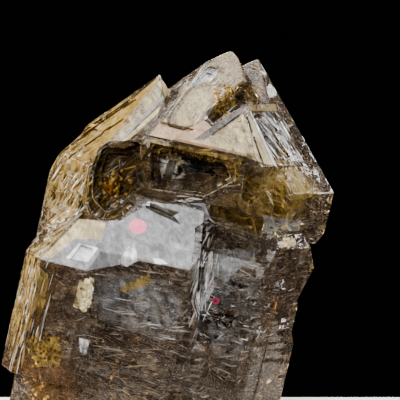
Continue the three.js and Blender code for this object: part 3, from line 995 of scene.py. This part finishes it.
# Small lumps, turned every way.
def crust_tree():
    tree, given, points = start_scatter("surface_crust", ["Density", "Least Size", "Most Size"])
    lump = add(
        tree, "GeometryNodeMeshIcoSphere", {"Radius": 1.0, "Subdivisions": 1}
    ).outputs["Mesh"]
    turns = add(
        tree, "ShaderNodeCombineXYZ",
        {axis: chance(tree, 0.0, math.tau, seed) for seed, axis in enumerate("XYZ")},
    ).outputs[0]
    turn = add(tree, "FunctionNodeEulerToRotation", {"Euler": turns}).outputs[0]
    size = chance(tree, given["Least Size"], given["Most Size"], 3)
    placed = add(
        tree, "GeometryNodeInstanceOnPoints",
        {"Points": points["Points"], "Instance": lump, "Rotation": turn, "Scale": size},
    ).outputs[0]
    placed = keep_chance(tree, placed, "pick", 0.0, 1.0, 4)
    whole = add(tree, "GeometryNodeRealizeInstances", {"Geometry": placed}).outputs[0]
    return end_scatter(tree, given, whole)


FLAKES = flakes_tree()
CRUST = crust_tree()


# A plain mesh of what a tree scatters around a middle in the upright frame.
def scattered(tree, middle, reach, values):
    mesh = skin.data.copy()
    zone = closeness(in_upright(rows(mesh.polygons, "center", 3)), middle, reach)
    mesh.attributes.new("zone", "FLOAT", "FACE").data.foreach_set("value", zone)
    carrier = bpy.data.objects.new("carrier", mesh)
    bpy.context.scene.collection.objects.link(carrier)
    modifier = carrier.modifiers.new("scatter", "NODES")
    modifier.node_group = tree
    for item in tree.interface.items_tree:
        if item.in_out == "INPUT" and item.name in values:
            modifier[item.identifier] = values[item.name]
    bpy.context.view_layer.update()
    evaluated = carrier.evaluated_get(bpy.context.evaluated_depsgraph_get())
    made = bpy.data.meshes.new_from_object(evaluated)
    bpy.data.objects.remove(carrier)
    bpy.data.meshes.remove(mesh)
    return made


# Flakes and lumps of crust. Density is for a square millimetre, and lengths, widths, depths and
# sizes are ranges in millimetres. Turn and spread are degrees from level in each face.
def flakes(material, seed, middle, reach, density, length, width, turn, spread, depth):
    return scattered(FLAKES, middle, reach, {
        "Density": density / MM ** 2, "Least Length": length[0] * MM,
        "Most Length": length[1] * MM, "Least Width": width[0] * MM,
        "Most Width": width[1] * MM, "Turn": math.radians(turn),
        "Spread": math.radians(spread), "Least Depth": depth[0] * MM,
        "Most Depth": depth[1] * MM, "Seed": seed, "Material": material,
    })


def crust(material, seed, middle, reach, density, size):
    return scattered(CRUST, middle, reach, {
        "Density": density / MM ** 2, "Least Size": size[0] * MM, "Most Size": size[1] * MM,
        "Seed": seed, "Material": material,
    })


# Drops the flakes of which some corner stands out of the solid.
def drop_stray(bm):
    stray = {vert for vert in bm.verts if stands_out(vert.co)}
    reach = list(stray)
    while reach:
        near = {edge.other_vert(vert) for vert in reach for edge in vert.link_edges}
        reach = list(near - stray)
        stray.update(reach)
    bmesh.ops.delete(bm, geom=list(stray), context="VERTS")


# Each piece of them: its material, and its zones, each as a middle and a reach in the upright
# frame in millimetres, followed by what the functions above ask for.
ROUGH_CRUST = (0.25, 1.0)  # roughness and alpha
THIN_FLAKE = (0.12, 0.85)
CRUST_ZONES = {
    "golden_crust": (picked_material(
        "golden_crust", colour(0.12, 0.06, 0.015), colour(0.62, 0.42, 0.15), *ROUGH_CRUST), [
        ((0, -7, 67.5), (3, 4, 4), 6, (0.12, 0.35)),
        ((-23, -26, 17), (4.5, 3, 4.5), 1.6, (0.12, 0.4)),
        ((-17, -11, 47.5), (4, 4, 4), 1.0, (0.2, 0.6)),
        ((-3, -12, 56.5), (9, 4, 2.5), 1.0, (0.15, 0.45)),
        ((-25, -20, 8), (6, 6, 6), 0.4, (0.15, 0.4)),
    ]),
    "cream_crust": (picked_material(
        "cream_crust", colour(0.34, 0.25, 0.13), colour(0.75, 0.66, 0.45), *ROUGH_CRUST), [
        ((-17.6, -24.8, 28.5), (2, 2.4, 3.8), 3, (0.25, 0.6)),
        ((18, -7, 43.6), (2.5, 4, 1.4), 2, (0.2, 0.45)),
        ((-8, -6.5, 54.5), (3, 2.5, 2.5), 1.2, (0.2, 0.5)),
    ]),
}
NEAR = (0.02, 0.035)  # depths under the face
DEEP = (0.3, 1.6)
FLAKE_ZONES = {
    # White striations of the quartz, and painted glints for the sparkle of its faces.
    "white_striations_and_glints": (picked_material(
        "white_striations_and_glints", colour(0.3, 0.28, 0.26), colour(0.95, 0.95, 0.95), *THIN_FLAKE), [
        ((-8, -23, 24), (13, 6, 13), 0.12, (1.5, 5), (0.05, 0.2), 3, 7, NEAR),
        ((-24, -13, 47), (10, 12, 12), 0.5, (1.2, 5), (0.1, 0.35), 55, 8, NEAR),
        ((18, -4, 53), (12, 12, 12), 0.3, (0.8, 3), (0.1, 0.3), -20, 60, NEAR),
        ((-28, -23, 24), (5, 7, 13), 0.5, (2, 6), (0.1, 0.35), 88, 6, NEAR),
        # Painted highlights along the silvery groove.
        ((3, -18, 34), (3, 6, 12), 1.2, (1.5, 4), (0.15, 0.4), 88, 15, NEAR),
        ((13, -2, 62), (8, 9, 9), 0.4, (1.5, 5), (0.15, 0.5), -45, 12, NEAR),
        ((-4, -8, 68), (8, 8, 9), 0.35, (1.5, 6), (0.08, 0.3), 62, 8, NEAR),
        # Sparse painted glints on the right of the body.
        ((12, -14, 28), (12, 8, 20), 0.12, (0.5, 2), (0.08, 0.2), 0, 80, NEAR),
        ((-4, -16, 46), (9, 6, 4), 0.6, (1, 3), (0.15, 0.4), 20, 30, NEAR),
        ((0, 14, 38), (40, 24, 44), 0.1, (1, 5), (0.06, 0.24), 3, 12, NEAR),
        ((-3, -16, 35), (30, 14, 36), 0.1, (1.5, 5), (0.1, 0.35), 3, 20, DEEP),
    ]),
    "golden_flakes": (picked_material(
        "golden_flakes", colour(0.2, 0.12, 0.03), colour(0.62, 0.45, 0.18), *THIN_FLAKE), [
        ((-22, -13, 52), (11, 12, 15), 0.7, (1.2, 5), (0.15, 0.5), 55, 8, NEAR),
        ((15, -6, 52), (14, 12, 9), 1.0, (0.8, 3.5), (0.15, 0.55), -10, 40, NEAR),
        ((-28, -23, 24), (5, 7, 13), 0.7, (2, 7), (0.2, 0.6), 88, 6, NEAR),
        ((-7, -23, 14), (8, 4, 9), 0.2, (0.4, 1.3), (0.2, 0.45), 20, 60, NEAR),
        ((-4, -13, 55), (12, 7, 5), 0.7, (1, 5), (0.15, 0.4), 8, 12, NEAR),
        ((0, -8, 68), (4, 6, 5), 1.0, (0.5, 1.5), (0.2, 0.5), 50, 60, NEAR),
        ((0, 14, 38), (40, 24, 44), 0.12, (1, 4), (0.1, 0.4), 5, 20, NEAR),
        ((12, -4, 52), (16, 14, 10), 0.5, (1, 4), (0.3, 0.9), 0, 50, DEEP),
        ((-20, -13, 50), (14, 12, 16), 0.5, (1, 5), (0.3, 0.9), 55, 20, DEEP),
    ]),
    "dark_fissures": (picked_material(
        "dark_fissures", colour(0.01, 0.008, 0.005), colour(0.07, 0.045, 0.025), *THIN_FLAKE), [
        ((-22, -13, 52), (11, 12, 15), 0.5, (1.2, 5), (0.12, 0.35), 55, 8, NEAR),
        ((18, -4, 53), (12, 12, 12), 0.25, (0.8, 4), (0.1, 0.35), -15, 50, NEAR),
        ((-28, -23, 24), (5, 7, 13), 0.5, (2, 7), (0.15, 0.45), 88, 6, NEAR),
        ((-4, -12, 55), (11, 7, 4), 0.5, (1, 5), (0.15, 0.5), 8, 20, NEAR),
        ((0, 0, 38), (45, 40, 46), 0.06, (1, 5), (0.1, 0.3), 5, 20, NEAR),
    ]),
}
CRUST_SEED = 21
FLAKE_SEED = 1


def scattered_pieces(pieces, make, first_seed, tidy_up):
    for name, (material, zones) in pieces.items():
        whole = bmesh.new()
        for number, zone in enumerate(zones):
            move_into(whole, make(material, first_seed + number, *zone))
        tidy_up(whole)
        as_piece(name, whole, material, smooth=False)


scattered_pieces(CRUST_ZONES, crust, CRUST_SEED, keep_in_box)
scattered_pieces(FLAKE_ZONES, flakes, FLAKE_SEED, drop_stray)

# Studio: a pale floor that ends behind the crystal, and soft boxes, in metres.
FLOOR_HALF = 0.075
FLOOR_BACK = 0.0215
floor_mesh = bpy.data.meshes.new("floor")
floor_mesh.from_pydata(
    [(-FLOOR_HALF, -FLOOR_HALF, 0), (FLOOR_HALF, -FLOOR_HALF, 0), (FLOOR_HALF, FLOOR_BACK, 0),
     (-FLOOR_HALF, FLOOR_BACK, 0)], [], [(0, 1, 2, 3)],
)
floor = bpy.data.objects.new("floor", floor_mesh)
bpy.context.scene.collection.objects.link(floor)
floor_material, floor_tree = new_material("floor_pale")
end_material(floor_tree, {"Base Color": colour(0.7, 0.69, 0.66), "Roughness": 0.8})
floor.data.materials.append(floor_material)

# Each light's place, the point that it looks at, its width and height, its power in watts and
# its tint.
PLAIN = (1, 1, 1)
LIGHTS = {
    "top_box": ((0, -0.02, 0.34), (0, 0, 0.04), (0.30, 0.24), 1.25, PLAIN),
    "left_strip": ((-0.32, -0.10, 0.12), (0, 0, 0.04), (0.10, 0.30), 1.6, (1, 0.97, 0.92)),
    "right_strip": ((0.32, -0.06, 0.12), (0, 0, 0.05), (0.10, 0.30), 0.9, (0.94, 0.97, 1)),
    "front_fill": ((-0.10, -0.42, 0.22), (0, 0, 0.04), (0.20, 0.14), 1.2, PLAIN),
    "left_rim": ((-0.24, 0.20, 0.14), (0, 0, 0.045), (0.03, 0.26), 0.25, (1, 0.9, 0.75)),
    "right_rim": ((0.26, 0.18, 0.14), (0, 0, 0.045), (0.03, 0.26), 0.25, PLAIN),
    "back_glow": ((0.04, 0.34, 0.30), (0, 0, 0.05), (0.26, 0.10), 1.4, (1, 0.93, 0.8)),
}
for name, (where, target, size, power, tint) in LIGHTS.items():
    light = bpy.data.lights.new(name, "AREA")
    light.shape = "RECTANGLE"
    light.size, light.size_y = size
    light.energy = power
    light.color = tint
    lamp = bpy.data.objects.new(name, light)
    lamp.location = where
    lamp.rotation_euler = (Vector(target) - Vector(where)).to_track_quat("-Z", "Y").to_euler()
    bpy.context.scene.collection.objects.link(lamp)

world = bpy.data.worlds.new("dark_studio")
world.use_nodes = True
world.node_tree.nodes["Background"].inputs["Color"].default_value = colour(0.004, 0.004, 0.005)
bpy.context.scene.world = world
bpy.context.scene.view_settings.look = "AgX - High Contrast"

camera_data = bpy.data.cameras.new("camera")
camera_data.lens = LENS
camera_data.sensor_width = SENSOR
camera = bpy.data.objects.new("camera", camera_data)
camera.location = CAMERA_AT * MM
camera.rotation_euler = SIGHT.to_track_quat("-Z", "Y").to_euler()
bpy.context.scene.collection.objects.link(camera)
bpy.context.scene.camera = camera

# Light passes through many thin sheets of glass and film.
cycles = bpy.context.scene.cycles
cycles.max_bounces = 24
cycles.transmission_bounces = 24
cycles.glossy_bounces = 8
cycles.transparent_max_bounces = 64
